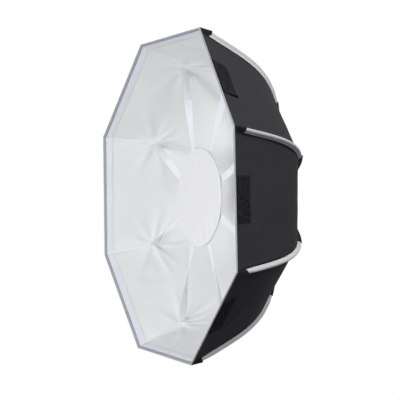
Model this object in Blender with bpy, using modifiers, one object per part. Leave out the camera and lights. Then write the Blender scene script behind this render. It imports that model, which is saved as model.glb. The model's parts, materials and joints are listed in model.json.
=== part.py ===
"""Folding octagonal studio softbox: a cloth shell on eight hinged ribs around a bayonet hub.

The origin is the middle of the mount's seating face. +Y points back towards the light head,
the open front faces -Y and +Z is up. Lengths are metres. Depths are counted back from the
plane of the front rim, and radii from the axis.
"""

import math

import bmesh
import bpy
from mathutils import Matrix, Vector

# Driving dimensions of the ribs and the shell
RIB_COUNT = 8
FRONT_RADIUS = 0.325
SHELL_DEPTH = 0.2066
TIP_LEAN = math.radians(29.6)
TIP_REACH = 0.1167
SOCKET_LEAN = math.radians(7.0)
SOCKET_REACH = 0.1454
FABRIC = 0.0012
BINDING = 0.0048
BINDING_WIDTH = 0.005
BINDING_STEP = 0.0006

# Rods, the sleeves sewn over them, and the sockets that hold them
ROD_RADIUS = 0.0028
SLEEVE_SLACK = 0.0007
SLEEVE_WALL = 0.0013
ROD_END_GAP = 0.003
ARM_LENGTH = 0.042
ARM_WALL = 0.0018
SOCKET_FLOOR = 0.014
BOSS_RIM = 0.0005
TRUNNION_RADIUS = 0.0024

# Hub and the bayonet mount that turns in it
BORE_RADIUS = 0.0455
MOUNT_WALL = 0.0042
TUBE_WALL = 0.004
PIVOT_STANDOFF = 0.024
PLATE = 0.004
PLATE_LEAD = 0.0015
PLATE_MARGIN = 0.006
EAR_REACH = 0.0065
EAR_WALL = 0.0035
TUBE_TAIL = 0.008
FLANGE = 0.0045
FLANGE_WIDTH = 0.0205
COLLAR_WALL = 0.0035
COLLAR_LENGTH = 0.0082
LUG_COUNT = 3
LUG_HEIGHT = 0.0045
LUG_WIDTH = 0.020
LUG_DEPTH = 0.0035
RETAINER = 0.003
RETAINER_WIDTH = 0.0075

# Clamping knob for the mount
BOLT_RADIUS = 0.0024
BOLT_BOSS_WIDTH = 0.012
BOSS_INSET = 0.0005
KNOB_RADIUS = 0.008
KNOB_LENGTH = 0.012
KNOB_FLUTES = 8
FLUTE_RADIUS = 0.0016

# Inner deflector and the straps that hold it
DISC_RADIUS = 0.0945
DISC_DEPTH = 0.0706
DISC = 0.0012
HOOP_WIRE = 0.0015
HOOP_INSET = 0.0005
STRAP_WIDTH = 0.015
STRAP = 0.001
ANCHOR_DEPTH = 0.0915

# Clearances between neighbours
GAP = 0.0003
SEAM_GAP = 0.0004
EAR_GAP = 0.0005
EDGE_GAP = 0.0006
SLOT_GAP = 0.0012
HALF_SEAM = 0.00015

# Facets
RIB_STEPS = 12
STRAP_STEPS = 10
ROUND = 64
SMALL_ROUND = 16

# Places worked out from the dimensions above
HALF_SIDE = math.pi / RIB_COUNT
sleeve_radius = ROD_RADIUS + SLEEVE_SLACK + SLEEVE_WALL
rod_offset = (sleeve_radius + SEAM_GAP) / math.cos(HALF_SIDE)
arm_radius = ROD_RADIUS + GAP + ARM_WALL
boss_radius = arm_radius + BOSS_RIM
mount_sleeve_radius = BORE_RADIUS + MOUNT_WALL
hub_bore = mount_sleeve_radius + GAP
tube_radius = hub_bore + TUBE_WALL
pivot_radius = tube_radius + PIVOT_STANDOFF
plate_radius = pivot_radius + EAR_REACH + PLATE_MARGIN
rear_radius = plate_radius + EDGE_GAP
boss_outer = plate_radius * math.cos(HALF_SIDE) - BOSS_INSET
ear_inner = arm_radius + EAR_GAP
ear_outer = ear_inner + EAR_WALL

# The socket's line in a rib's plane, as (radius, depth): outward along it and square to it
socket_out = Vector((math.cos(SOCKET_LEAN), -math.sin(SOCKET_LEAN)))
socket_back = Vector((math.sin(SOCKET_LEAN), math.cos(SOCKET_LEAN)))
pivot_depth = SHELL_DEPTH + ARM_LENGTH * math.sin(SOCKET_LEAN) + rod_offset * math.cos(SOCKET_LEAN)
pivot = Vector((pivot_radius, pivot_depth))
seam_rear = pivot + ARM_LENGTH * socket_out - rod_offset * socket_back
edge_depth = SHELL_DEPTH + (seam_rear.x - rear_radius) * math.tan(SOCKET_LEAN)

plate_front = edge_depth - FABRIC - PLATE_LEAD
plate_back = plate_front + PLATE
plate_middle = plate_front + PLATE / 2
ear_back = pivot_depth + EAR_REACH
hub_back = ear_back + TUBE_TAIL
flange_front = hub_back + GAP
seat_depth = flange_front + FLANGE

parts = bpy.data.collections.new("studio_softbox")
cutters = bpy.data.collections.new("cutters")


def clear_scene():
    for obj in list(bpy.data.objects):
        bpy.data.objects.remove(obj, do_unlink=True)
    for collection in (parts, cutters):
        bpy.context.scene.collection.children.link(collection)


def material(name, colour, roughness, metallic=0.0):
    made = bpy.data.materials.new(name)
    made.use_nodes = True
    shader = made.node_tree.nodes["Principled BSDF"]
    shader.inputs["Base Color"].default_value = (*colour, 1.0)
    shader.inputs["Roughness"].default_value = roughness
    shader.inputs["Metallic"].default_value = metallic
    return made


def add(name, data, finish=None, collection=parts):
    obj = bpy.data.objects.new(name, data)
    collection.objects.link(obj)
    if finish:
        data.materials.append(finish)
    return obj


def mesh_from(name, work):
    data = bpy.data.meshes.new(name)
    work.to_mesh(data)
    work.free()
    return data


def frozen(obj, name):
    """The object's evaluated shape as a mesh of its own, with welded caps; the object is removed."""
    bpy.context.view_layer.update()
    shape = obj.evaluated_get(bpy.context.evaluated_depsgraph_get())
    data = bpy.data.meshes.new_from_object(shape)
    data.name = name
    data.transform(obj.matrix_world)
    work = bmesh.new()
    work.from_mesh(data)
    bmesh.ops.remove_doubles(work, verts=work.verts, dist=1e-6)
    work.to_mesh(data)
    work.free()
    bpy.data.objects.remove(obj, do_unlink=True)
    return data


def smooth(data, degrees=35.0):
    data.shade_smooth()
    data.set_sharp_from_angle(angle=math.radians(degrees))
    return data


def boolean(obj, tool, operation="DIFFERENCE"):
    cut = obj.modifiers.new(tool.name, "BOOLEAN")
    cut.object = tool
    cut.operation = operation
    tool.hide_render = True
    tool.display_type = "WIRE"


def cylinder(name, radius, length, placed, segments=SMALL_ROUND, collection=cutters):
    """A cylinder along local Z, moved by the matrix given."""
    work = bmesh.new()
    bmesh.ops.create_cone(
        work, cap_ends=True, segments=segments, radius1=radius, radius2=radius, depth=length
    )
    bmesh.ops.transform(work, matrix=placed, verts=work.verts)
    return add(name, mesh_from(name, work), collection=collection)


def boxes(name, places, collection=cutters):
    """Boxes in one mesh, each from its sizes and a matrix."""
    work = bmesh.new()
    for size, placed in places:
        bmesh.ops.create_cube(work, size=1.0, matrix=placed @ Matrix.Diagonal((*size, 1.0)))
    return add(name, mesh_from(name, work), collection=collection)


def turned(name, profile, finish=None, collection=parts):
    """A closed profile of (radius, depth) spun about the Y axis, outer side first, back to front."""
    work = bmesh.new()
    ring = [work.verts.new((radius, 0.0, depth - seat_depth)) for radius, depth in profile]
    for here, there in zip(ring, ring[1:] + ring[:1]):
        work.edges.new((here, there))
    obj = add(name, mesh_from(name, work), finish, collection)
    spin = obj.modifiers.new("spin", "SCREW")
    spin.axis = "Z"
    spin.steps = ROUND
    spin.render_steps = ROUND
    spin.use_merge_vertices = True
    spin.merge_threshold = 0.00001
    obj.rotation_euler.x = -math.pi / 2
    return obj


def rib_angle(number):
    return HALF_SIDE * (2 * number - 1)


def rib_frame(number):
    """Local X runs out along the rib's radius, Y back and Z round the axis, from the rib's hinge."""
    angle = rib_angle(number)
    place = Vector((pivot.x * math.cos(angle), pivot.y - seat_depth, pivot.x * math.sin(angle)))
    return Matrix.Translation(place) @ Matrix.Rotation(-angle, 4, "Y")


def seam(share):
    """Seam line of a rib at 0 (front corner) to 1 (socket mouth), and the way out from it."""
    tip = Vector((FRONT_RADIUS, 0.0))
    tip_handle = tip + TIP_REACH * Vector((-math.sin(TIP_LEAN), math.cos(TIP_LEAN)))
    rear_handle = seam_rear + SOCKET_REACH * socket_out
    rest = 1.0 - share
    point = (
        rest**3 * tip
        + 3 * rest**2 * share * tip_handle
        + 3 * rest * share**2 * rear_handle
        + share**3 * seam_rear
    )
    slope = (
        rest**2 * (tip_handle - tip)
        + 2 * rest * share * (rear_handle - tip_handle)
        + share**2 * (seam_rear - rear_handle)
    )
    slope.normalize()
    return point, Vector((slope.y, -slope.x)), slope


def share_at_depth(depth):
    low, high = 0.0, 1.0
    for _ in range(50):
        middle = (low + high) / 2
        if seam(middle)[0].y < depth:
            low = middle
        else:
            high = middle
    return low


def rod_line():
    """Middle line of a rod from the front corner to the socket's mouth, from the rib's hinge."""
    steps = [number / RIB_STEPS for number in range(RIB_STEPS + 1)]
    return [point + rod_offset * out - pivot for point, out, _ in map(seam, steps)]


def tube_along(name, line, radius, capped=True):
    curve = bpy.data.curves.new(name, "CURVE")
    curve.dimensions = "3D"
    curve.bevel_depth = radius
    curve.bevel_resolution = 1
    curve.use_fill_caps = capped
    spline = curve.splines.new("POLY")
    spline.points.add(len(line) - 1)
    for point, place in zip(spline.points, line):
        point.co = (place.x, place.y, 0.0, 1.0)
    return add(name, curve, collection=cutters)


def rod_mesh(finish):
    line = rod_line()
    line[0] = line[0] + (line[1] - line[0]).normalized() * ROD_END_GAP
    line.append((SOCKET_FLOOR + GAP) * socket_out)
    data = smooth(frozen(tube_along("rod_line", line, ROD_RADIUS), "rib_rod"), 70.0)
    data.materials.append(finish)
    return data


def sleeve_mesh(finish):
    """Sewn sleeve, closed at its front pocket and open at the socket, where the rod goes in."""
    line = rod_line()
    line[-1] = line[-1] + (line[-2] - line[-1]).normalized() * GAP
    data = frozen(tube_along("sleeve_line", line, sleeve_radius, capped=False), "rib_sleeve")
    work = bmesh.new()
    work.from_mesh(data)
    halfway = (line[0].x + line[-1].x) / 2
    front = [edge for edge in work.edges if edge.is_boundary and edge.verts[0].co.x > halfway]
    bmesh.ops.holes_fill(work, edges=front)
    work.to_mesh(data)
    work.free()
    skin = add("sleeve_skin", data, collection=cutters)
    wall = skin.modifiers.new("wall", "SOLIDIFY")
    wall.thickness = SLEEVE_WALL
    wall.offset = -1.0
    wall.use_even_offset = True
    made = smooth(frozen(skin, "rib_sleeve"), 70.0)
    made.materials.append(finish)
    return made


def holder_mesh(finish):
    """Hinged socket: a boss with moulded trunnions and a round arm bored for the rod."""
    along = Matrix.Rotation(-SOCKET_LEAN, 4, "Z") @ Matrix.Rotation(math.pi / 2, 4, "Y")
    arm = cylinder("arm", arm_radius, ARM_LENGTH, along @ Matrix.Translation((0, 0, ARM_LENGTH / 2)))
    boss = cylinder("boss", boss_radius, 2 * (ear_inner - GAP), Matrix())
    trunnion = cylinder("trunnion", TRUNNION_RADIUS, 2 * ear_outer, Matrix())
    depth = ARM_LENGTH - SOCKET_FLOOR
    bore = cylinder(
        "socket", ROD_RADIUS + GAP, 2 * depth, along @ Matrix.Translation((0, 0, ARM_LENGTH))
    )
    boolean(arm, boss, "UNION")
    boolean(arm, trunnion, "UNION")
    boolean(arm, bore)
    data = smooth(frozen(arm, "rod_holder"))
    data.materials.append(finish)
    return data


def panel_rows():
    """Seam points from the bound edge to the hub plate, each with its share of the full thickness."""
    thin = FABRIC / BINDING
    bound = share_at_depth(BINDING_WIDTH)
    after = share_at_depth(BINDING_WIDTH + BINDING_STEP)
    rows = [(seam(0.0)[0], 1.0), (seam(bound)[0], 1.0), (seam(after)[0], thin)]
    for number in range(1, RIB_STEPS + 1):
        rows.append((seam(number / RIB_STEPS)[0], thin))
    rows.append((Vector((rear_radius, edge_depth)), thin))
    return rows


def panel_mesh(side, finish):
    """Half a cloth panel, from one rib to the middle of the side; side is 1 or -1 round the axis."""
    rows = panel_rows()
    work = bmesh.new()
    bmesh.ops.create_grid(work, x_segments=2, y_segments=len(rows) - 1, size=0.5)
    weights = work.verts.layers.deform.verify()
    for vert in work.verts:
        row = round((vert.co.y + 0.5) * (len(rows) - 1))
        point, weight = rows[row]
        setback = weight * BINDING * math.sin(HALF_SIDE) + HALF_SEAM
        near = setback / math.cos(HALF_SIDE)
        far = point.x * math.sin(HALF_SIDE) - HALF_SEAM
        across = near + (far - near) * (vert.co.x + 0.5)
        inward = across * math.sin(HALF_SIDE)
        vert.co = (
            point.x - inward - pivot.x,
            point.y - pivot.y,
            side * across * math.cos(HALF_SIDE),
        )
        vert[weights][0] = weight
    if side > 0:
        bmesh.ops.reverse_faces(work, faces=work.faces)
    skin = add("panel_skin", mesh_from("panel_skin", work), collection=cutters)
    skin.vertex_groups.new(name="thickness")
    wall = skin.modifiers.new("cloth", "SOLIDIFY")
    wall.thickness = BINDING
    wall.offset = -1.0
    wall.use_even_offset = True
    wall.vertex_group = "thickness"
    data = smooth(frozen(skin, "shell_panel"), 30.0)
    data.materials.append(finish)
    return data


def strap_mesh(finish):
    """Strap from the disc's edge to the rib's seam, turned a quarter on its way."""
    anchor, out, slope = seam(share_at_depth(ANCHOR_DEPTH))
    inset = (FABRIC + GAP + STRAP / 2 * math.sin(HALF_SIDE)) / math.cos(HALF_SIDE)
    start = Vector((DISC_RADIUS + GAP, DISC_DEPTH))
    run = anchor - inset * out - start
    work = bmesh.new()
    bmesh.ops.create_grid(work, x_segments=1, y_segments=STRAP_STEPS, size=0.5)
    for vert in work.verts:
        share = vert.co.y + 0.5
        across = vert.co.x * STRAP_WIDTH
        turn = share * math.pi / 2
        place = start + share * run - across * math.sin(turn) * slope - pivot
        vert.co = (place.x, place.y, across * math.cos(turn))
    skin = add("strap_skin", mesh_from("strap_skin", work), collection=cutters)
    wall = skin.modifiers.new("webbing", "SOLIDIFY")
    wall.thickness = STRAP
    wall.offset = 0.0
    data = smooth(frozen(skin, "deflector_strap"), 60.0)
    data.materials.append(finish)
    return data


def radial_matrix(radius, depth, angle):
    """Local Z out along a radius of the hub, X round it and Y back."""
    place = Vector((radius * math.cos(angle), depth - seat_depth, radius * math.sin(angle)))
    out = Vector((math.cos(angle), 0.0, math.sin(angle)))
    back = Vector((0.0, 1.0, 0.0))
    around = back.cross(out)
    turn = Matrix((around, back, out)).transposed().to_4x4()
    return Matrix.Translation(place) @ turn


def bolt_matrix(radius):
    """A place on the clamping screw's line, straight down from the axis."""
    return radial_matrix(radius, (plate_back + hub_back) / 2, -math.pi / 2)


def hub_ring(finish):
    """Eight-sided plate with a tube for the mount, a pair of ears at each rib and the knob's boss."""
    to_axis = Matrix.Rotation(-math.pi / 2, 4, "X") @ Matrix.Rotation(HALF_SIDE, 4, "Z")
    middle = Matrix.Translation((0, plate_middle - seat_depth, 0))
    plate = cylinder("hub_ring", plate_radius, PLATE, middle @ to_axis, RIB_COUNT, parts)
    plate.data.materials.append(finish)
    tube_length = hub_back - plate_middle
    tube_middle = Matrix.Translation((0, plate_middle + tube_length / 2 - seat_depth, 0))
    tube = cylinder("hub_tube", tube_radius, tube_length, tube_middle @ to_axis, ROUND)
    bore = cylinder("hub_bore", hub_bore, 2 * tube_length, tube_middle @ to_axis, ROUND)
    ears, slots = [], []
    ear_length = ear_back - plate_middle
    slot_start = pivot_radius - boss_radius - SLOT_GAP
    slot_length = plate_radius - slot_start + PLATE_MARGIN
    for number in range(1, RIB_COUNT + 1):
        angle = rib_angle(number)
        centre = radial_matrix(pivot_radius, plate_middle + ear_length / 2, angle)
        for side in (-1, 1):
            shift = Matrix.Translation((side * (ear_inner + EAR_WALL / 2), 0, 0))
            ears.append(((EAR_WALL, ear_length, 2 * EAR_REACH), centre @ shift))
        slot = radial_matrix(slot_start + slot_length / 2, plate_front, angle)
        slots.append(((2 * ear_inner + EAR_WALL, 4 * PLATE, slot_length), slot))
    boss_inner = hub_bore + TUBE_WALL / 2
    boss_length = boss_outer - boss_inner
    boss_middle = boss_inner + boss_length / 2
    boss_depth = tube_length - BOSS_INSET
    boss_centre = radial_matrix(boss_middle, plate_middle + boss_depth / 2, -math.pi / 2)
    ears.append(((BOLT_BOSS_WIDTH, boss_depth, boss_length), boss_centre))
    boolean(plate, boxes("hub_slots", slots))
    boolean(plate, tube, "UNION")
    boolean(plate, boxes("hub_ears", ears), "UNION")
    boolean(plate, bore)
    for number in range(1, RIB_COUNT + 1):
        hole = cylinder(f"ear_hole_{number}", TRUNNION_RADIUS + GAP, 4 * ear_outer, rib_frame(number))
        boolean(plate, hole)
    bolt_hole = cylinder("bolt_hole", BOLT_RADIUS + GAP, 2 * boss_length, bolt_matrix(boss_middle))
    boolean(plate, bolt_hole)
    return plate


def mount_ring(finish):
    """Bayonet ring: a sleeve that turns in the hub, a seating flange and a collar with lugs."""
    collar_radius = BORE_RADIUS + COLLAR_WALL
    collar_back = seat_depth + COLLAR_LENGTH
    sleeve_front = plate_front - GAP - RETAINER
    ring = turned(
        "mount_ring",
        [
            (collar_radius, collar_back),
            (collar_radius, seat_depth),
            (BORE_RADIUS + FLANGE_WIDTH, seat_depth),
            (BORE_RADIUS + FLANGE_WIDTH, flange_front),
            (mount_sleeve_radius, flange_front),
            (mount_sleeve_radius, sleeve_front),
            (BORE_RADIUS, sleeve_front),
            (BORE_RADIUS, collar_back),
        ],
        finish,
    )
    lugs = []
    for number in range(LUG_COUNT):
        angle = math.pi / 2 + number * 2 * math.pi / LUG_COUNT
        height = LUG_HEIGHT + COLLAR_WALL / 2
        lug_radius = collar_radius + LUG_HEIGHT - height / 2
        place = radial_matrix(lug_radius, collar_back - LUG_DEPTH / 2, angle)
        lugs.append(((LUG_WIDTH, LUG_DEPTH, height), place))
    boolean(ring, boxes("mount_lugs", lugs), "UNION")
    return ring


def retainer_ring(finish):
    inner = mount_sleeve_radius + GAP
    back = plate_front - GAP
    front = back - RETAINER
    outer = inner + RETAINER_WIDTH
    return turned(
        "retainer_ring", [(outer, back), (outer, front), (inner, front), (inner, back)], finish
    )


def lock_knob(finish):
    """Fluted knob on a screw whose end bears on the mount's sleeve."""
    head = Matrix.Translation((0, 0, boss_outer + GAP + KNOB_LENGTH / 2))
    knob = cylinder("lock_knob", KNOB_RADIUS, KNOB_LENGTH, head, 2 * SMALL_ROUND, parts)
    knob.data.materials.append(finish)
    screw_length = boss_outer + GAP + KNOB_LENGTH / 2 - hub_bore
    screw_middle = Matrix.Translation((0, 0, hub_bore + screw_length / 2))
    screw = cylinder("lock_screw", BOLT_RADIUS, screw_length, screw_middle)
    placed = bolt_matrix(0.0)
    knob.matrix_world = placed
    screw.matrix_world = placed
    boolean(knob, screw, "UNION")
    for number in range(KNOB_FLUTES):
        angle = number * 2 * math.pi / KNOB_FLUTES
        edge = Matrix.Translation((KNOB_RADIUS * math.cos(angle), KNOB_RADIUS * math.sin(angle), 0))
        flute = cylinder(f"flute_{number}", FLUTE_RADIUS, 2 * KNOB_LENGTH, head @ edge, SMALL_ROUND // 2)
        flute.matrix_world = placed
        boolean(knob, flute)
    return knob


def deflector_disc(finish):
    middle = Matrix.Translation((0, DISC_DEPTH - seat_depth, 0))
    to_axis = Matrix.Rotation(-math.pi / 2, 4, "X")
    disc = cylinder("deflector_disc", DISC_RADIUS, DISC, middle @ to_axis, ROUND, parts)
    disc.data.materials.append(finish)
    return disc


def deflector_hoop(finish):
    """Wire hoop that keeps the disc flat, behind its edge."""
    bpy.ops.mesh.primitive_torus_add(
        major_radius=DISC_RADIUS - HOOP_INSET - HOOP_WIRE,
        minor_radius=HOOP_WIRE,
        major_segments=ROUND,
        minor_segments=6,
        location=(0, DISC_DEPTH + DISC / 2 + GAP + HOOP_WIRE - seat_depth, 0),
        rotation=(math.pi / 2, 0, 0),
    )
    hoop = bpy.context.object
    hoop.name = "deflector_hoop"
    for collection in list(hoop.users_collection):
        collection.objects.unlink(hoop)
    parts.objects.link(hoop)
    hoop.data.materials.append(finish)
    return hoop


def build():
    clear_scene()
    shell_cloth = material("black_shell_cloth", (0.03, 0.03, 0.033), 0.85)
    webbing = material("grey_webbing", (0.33, 0.34, 0.35), 0.8)
    white_cloth = material("white_cloth", (0.78, 0.79, 0.82), 0.75)
    fibre = material("rod_fibre", (0.06, 0.06, 0.06), 0.4)
    nylon = material("black_nylon", (0.02, 0.02, 0.021), 0.45)
    cast = material("black_anodised", (0.03, 0.03, 0.032), 0.35, 0.9)
    steel = material("mount_steel", (0.56, 0.56, 0.57), 0.3, 1.0)
    wire = material("hoop_wire", (0.62, 0.62, 0.63), 0.35, 1.0)
    grip = material("knob_plastic", (0.025, 0.025, 0.027), 0.5)

    holder = holder_mesh(nylon)
    rod = rod_mesh(fibre)
    sleeve = sleeve_mesh(webbing)
    strap = strap_mesh(white_cloth)
    halves = {"a": panel_mesh(1, shell_cloth), "b": panel_mesh(-1, shell_cloth)}
    for number in range(1, RIB_COUNT + 1):
        hinge = add(f"rib_{number}_hinge", None)
        hinge.matrix_world = rib_frame(number)
        pieces = {
            f"rod_holder_{number}": holder,
            f"rib_rod_{number}": rod,
            f"rib_sleeve_{number}": sleeve,
            f"deflector_strap_{number}": strap,
        }
        for letter, half in halves.items():
            pieces[f"shell_panel_{number}{letter}"] = half
        for name, data in pieces.items():
            add(name, data).parent = hinge

    hub_ring(cast)
    mount_ring(steel)
    retainer_ring(steel)
    lock_knob(grip)
    deflector_disc(white_cloth)
    deflector_hoop(wire)
    bpy.context.view_layer.update()


build()
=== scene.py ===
"""Looks of the folding octagonal softbox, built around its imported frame.

The frame is the part's own, in metres: its origin is the middle of the mount's seating face, +Y
points back to the light head, the open front faces -Y and +Z is up. Depths are counted back from
the plane of the front rim and radii from the axis. Rib k stands at 22.5 + 45 (k - 1) degrees from
+X towards +Z. Panel k lies between rib k and the next one; its first half belongs to rib k's side a
and its second half to the next rib's side b.
"""

import copy
import json
import math
import random
from functools import cached_property

import bmesh
import bpy
import numpy as np
from mathutils import Matrix, Vector, noise

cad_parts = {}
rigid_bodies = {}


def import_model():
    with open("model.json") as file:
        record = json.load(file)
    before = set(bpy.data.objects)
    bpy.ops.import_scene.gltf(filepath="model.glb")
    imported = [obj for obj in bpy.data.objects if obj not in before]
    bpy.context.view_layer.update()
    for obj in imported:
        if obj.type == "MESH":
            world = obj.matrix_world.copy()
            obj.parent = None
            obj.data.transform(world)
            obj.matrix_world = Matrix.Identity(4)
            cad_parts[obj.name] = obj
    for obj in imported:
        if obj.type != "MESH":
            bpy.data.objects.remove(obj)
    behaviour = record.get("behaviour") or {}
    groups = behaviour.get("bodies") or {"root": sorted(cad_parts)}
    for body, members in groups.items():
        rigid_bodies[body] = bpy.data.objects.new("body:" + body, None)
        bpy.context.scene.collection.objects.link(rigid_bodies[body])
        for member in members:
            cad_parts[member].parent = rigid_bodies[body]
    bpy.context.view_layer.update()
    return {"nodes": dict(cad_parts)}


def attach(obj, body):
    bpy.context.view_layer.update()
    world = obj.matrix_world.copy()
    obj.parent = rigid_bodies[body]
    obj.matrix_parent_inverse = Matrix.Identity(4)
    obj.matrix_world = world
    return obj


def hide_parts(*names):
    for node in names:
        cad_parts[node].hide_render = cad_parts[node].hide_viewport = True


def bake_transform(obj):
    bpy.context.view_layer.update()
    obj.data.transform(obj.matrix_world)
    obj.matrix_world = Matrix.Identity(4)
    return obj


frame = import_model()

# Sizes repeated or worked out from the part's source
RIB_COUNT = 8
FRONT_RADIUS = 0.325
TIP_LEAN = math.radians(29.6)
TIP_REACH = 0.1167
SOCKET_LEAN = math.radians(7.0)
SOCKET_REACH = 0.1454
ARM_LENGTH = 0.042
ROD_FOOT = 0.0143
ROD_RADIUS = 0.0028
ROD_OFFSET = 0.005629
PIVOT_RADIUS = 0.0780
PIVOT_DEPTH = 0.217305
REAR_RADIUS = 0.0911
SEAT_DEPTH = 0.236605
DISC_RADIUS = 0.0945
DISC_DEPTH = 0.0706
HOOP_RADIUS = 0.0925
HOOP_DEPTH = 0.0730
STRAP_WIDTH = 0.015
ANCHOR_DEPTH = 0.0915
HALF_SIDE = math.pi / RIB_COUNT

# How far some rib tips stand off their places in the set-up shell: radius, depth
TIP_SHIFT = {
    1: (-0.0050, -0.0070),
    2: (0.0076, 0.0068),
    4: (-0.0030, -0.0088),
    5: (0.0, -0.0013),
    6: (-0.0005, 0.0022),
    7: (0.0022, 0.0),
}

# How far the ribs bow out halfway along, and how far some sway round the axis there
BOW = {2: 0.0070, 3: 0.0075, 4: 0.0035, 7: 0.0005}
SWAY = {1: 0.0055, 4: -0.0080, 5: -0.0050, 8: -0.0040}

# Shell, lining and the trims sewn to them
SHELL_ROWS, SHELL_HALF = 56, 18
LINING_ROWS, LINING_HALF = 120, 40
LINING_INSET, LINING_LEAST = 0.0016, 0.0009
LINING_END = 0.991
HEM_START, HEM_END, HEM_ROWS = 0.0042, 0.0205, 8
PATCH_START, PATCH_END = 0.0030, 0.0400
PATCH_HALF = 0.0405
PATCH_THICKNESS = 0.0013
TUCK_WIDTH = 0.0095

# Webbing and pockets over the ribs, with the ribs that differ
SLEEVE_RISE, SLEEVE_RISES = 0.0032, {7: 0.0052, 8: 0.0050}
SLEEVE_EDGE, SLEEVE_EDGES = -0.0086, {1: -0.0078, 2: -0.0108}
SLEEVE_HIDDEN_EDGE = -0.0058
SLEEVE_SIDE = -0.0018
SLEEVE_BULGE = 0.0034
FRONT_POCKET = 0.0245
REAR_POCKET_RADIUS = 0.197
POCKET_NEAR = 0.0022
POCKET_BEVEL = 0.0008

# How far from a rib the lining starts to cut the corner, and how far a strap pulls it in
LINING_CORNER, LINING_CORNERS = 0.026, {4: 0.012, 5: 0.012}
ANCHOR_PULL = 0.0095

# The folds that fan out from an anchor: turn from the rib, reach, height and width
FAN = (
    (0.35, 0.085, 0.0016, 0.0060),
    (0.95, 0.100, 0.0026, 0.0075),
    (1.45, 0.110, 0.0026, 0.0085),
    (2.05, 0.120, 0.0022, 0.0090),
    (2.60, 0.080, 0.0016, 0.0070),
)

# The short pinched pleat behind each strap's anchor: its side of the rib and its angle to it
PINCHES = {
    1: ("a", 18.0),
    2: ("b", 16.0),
    3: ("a", 24.0),
    4: ("a", 27.0),
    5: ("b", 7.0),
    6: ("b", 9.0),
    7: ("a", 14.0),
    8: ("b", 15.0),
}

# Studio lights: place, size across and power
LAMPS = {
    "front": ((0.0, -3.0, 0.0), 2.5, 15.0),
    "fill": ((0.6, -2.4, -0.7), 1.5, 50.0),
    "key": ((2.0, -1.6, 2.0), 2.0, 30.0),
    "side": ((2.4, 0.6, 2.2), 2.0, 70.0),
}

AXIS_BACK = np.array((0.0, 1.0, 0.0))

# Half the length over which slopes are taken, and how far a seam's own way and line reach into a panel
SLOPE_REACH = 0.002
SEAM_WAY, SEAM_LINE = 0.016, 0.012


def smoothstep(low, high, value):
    share = np.clip((value - low) / (high - low), 0.0, 1.0)
    return share * share * (3 - 2 * share)


def bell(off, width):
    return np.exp(-((off / width) ** 2))


def unit(vectors):
    return vectors / np.linalg.norm(vectors, axis=-1, keepdims=True)


class Rib:
    """A rib's seam line in its own plane, from the front corner to the hub, by length along it."""

    curve_steps, tail_steps = 400, 40
    # The stretches over which depth only grows and radius only shrinks
    deepening, closing = slice(0, 380), slice(60, None)

    def __init__(self, number):
        self.number = number
        self.body = f"rib_{number}"
        angle = HALF_SIDE * (2 * number - 1)
        self.out = np.array((math.cos(angle), 0.0, math.sin(angle)))
        self.around = np.array((-math.sin(angle), 0.0, math.cos(angle)))
        share = np.linspace(0.0, 1.0, self.curve_steps + 1)[:, None]
        rest = 1.0 - share
        socket_out = np.array((math.cos(SOCKET_LEAN), -math.sin(SOCKET_LEAN)))
        socket_back = np.array((math.sin(SOCKET_LEAN), math.cos(SOCKET_LEAN)))
        pivot = np.array((PIVOT_RADIUS, PIVOT_DEPTH))
        tip = np.array((FRONT_RADIUS, 0.0))
        tip_handle = tip + TIP_REACH * np.array((-math.sin(TIP_LEAN), math.cos(TIP_LEAN)))
        rear = pivot + ARM_LENGTH * socket_out - ROD_OFFSET * socket_back
        rear_handle = rear + SOCKET_REACH * socket_out
        line = rest**3 * tip + 3 * rest**2 * share * tip_handle
        line = line + 3 * rest * share**2 * rear_handle + share**3 * rear
        slope = unit(np.gradient(line, axis=0))
        out = np.stack((slope[:, 1], -slope[:, 0]), axis=1)
        hump = 4 * share * rest
        line = line + rest**2 * np.array(TIP_SHIFT.get(number, (0.0, 0.0)))
        line = line + hump * BOW.get(number, 0.0) * out
        tail_length = (rear[0] - REAR_RADIUS) / socket_out[0]
        tail = np.linspace(0.0, tail_length, self.tail_steps + 1)[1:, None]
        self.line = np.vstack((line, rear - tail * socket_out))
        steps = np.linalg.norm(np.diff(self.line, axis=0), axis=1)
        self.lengths = np.concatenate(([0.0], np.cumsum(steps)))
        self.sway = np.append(hump[:, 0], np.zeros(self.tail_steps)) * SWAY.get(number, 0.0)
        self.length = self.lengths[-1]
        self.mouth = self.lengths[self.curve_steps]
        part = self.deepening
        self.anchor = float(np.interp(ANCHOR_DEPTH, self.line[part, 1], self.lengths[part]))
        part = self.closing
        self.pocket = float(np.interp(-REAR_POCKET_RADIUS, -self.line[part, 0], self.lengths[part]))

    def at(self, radius, depth):
        """A place in the rib's plane."""
        return radius * self.out + (depth - SEAT_DEPTH) * AXIS_BACK

    def flat(self, along):
        """Radius and depth at lengths along the rib, run on straight in front of the rim."""
        along = np.asarray(along, float)
        radius = np.interp(along, self.lengths, self.line[:, 0])
        depth = np.interp(along, self.lengths, self.line[:, 1])
        under = np.minimum(along, 0.0)[..., None]
        first = (self.line[1] - self.line[0]) / self.lengths[1]
        return np.stack((radius, depth), axis=-1) + under * first

    def point(self, along):
        place = self.flat(along)
        aside = np.interp(along, self.lengths, self.sway)[..., None]
        return self.at(place[..., :1], place[..., 1:]) + aside * self.around

    def normal(self, along):
        """The way out from the seam, in the rib's plane."""
        along = np.asarray(along)
        slope = unit(self.flat(along + SLOPE_REACH) - self.flat(along - SLOPE_REACH))
        return slope[..., 1:] * self.out - slope[..., :1] * AXIS_BACK

    def slope(self, along):
        return unit(self.point(along + SLOPE_REACH) - self.point(along - SLOPE_REACH))

    def half_angle(self, along):
        """Half the turn from one panel to the next, at lengths along the rib."""
        return np.arcsin(np.sin(HALF_SIDE) * (self.normal(along) @ self.out))


ribs = {number: Rib(number) for number in range(1, RIB_COUNT + 1)}


# Mesh making

objects = bpy.context.scene.collection.objects


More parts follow.
